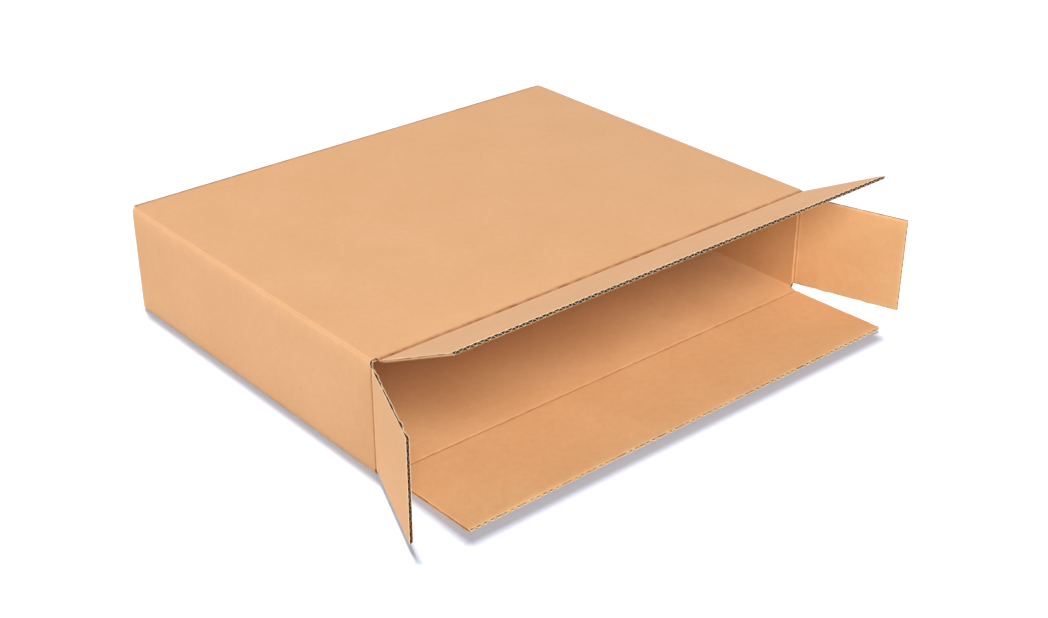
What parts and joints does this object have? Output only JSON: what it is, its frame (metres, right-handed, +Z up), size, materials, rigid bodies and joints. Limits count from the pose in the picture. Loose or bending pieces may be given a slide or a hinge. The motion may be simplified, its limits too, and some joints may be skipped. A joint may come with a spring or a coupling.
{
  "type": "side-opening corrugated box",
  "caption": "Shallow corrugated shipping box lying flat, rear end glued shut, with its long side open and the hinged flaps folded out.",
  "frame": {"origin": "middle of the underside of the bottom panel, on the surface that the box lies on", "axes": "+Z up out of the top panel, +X along the long opening, and the opening faces -Y"},
  "size_m": [0.7051, 0.6066, 0.1861],
  "materials": {
    "kraft_board": "matte"
  },
  "bodies": {
    "box_body": {"box_body": "kraft_board"},
    "top_flap": {"top_flap": "kraft_board"},
    "bottom_flap": {"bottom_flap": "kraft_board"},
    "left_flap": {"left_flap": "kraft_board"},
    "right_flap": {"right_flap": "kraft_board"}
  },
  "joints": [
    {"name": "top_hinge", "type": "hinge", "parent": "box_body", "child": "top_flap", "pos_m": [0, -0.2359, 0.1286], "axis": [1, 0, 0], "range_deg": [-93, 117]},
    {"name": "bottom_hinge", "type": "hinge", "parent": "box_body", "child": "bottom_flap", "pos_m": [0, -0.2403, 0.0014], "axis": [-1, 0, 0], "range_deg": [-0.8, 89.2]},
    {"name": "left_hinge", "type": "hinge", "parent": "box_body", "child": "left_flap", "pos_m": [-0.3074, -0.2315, 0.065], "axis": [0, 0, 1], "range_deg": [-97.5, 112.5]},
    {"name": "right_hinge", "type": "hinge", "parent": "box_body", "child": "right_flap", "pos_m": [0.3074, -0.2315, 0.065], "axis": [0, 0, -1], "range_deg": [-103, 107]}
  ]
}
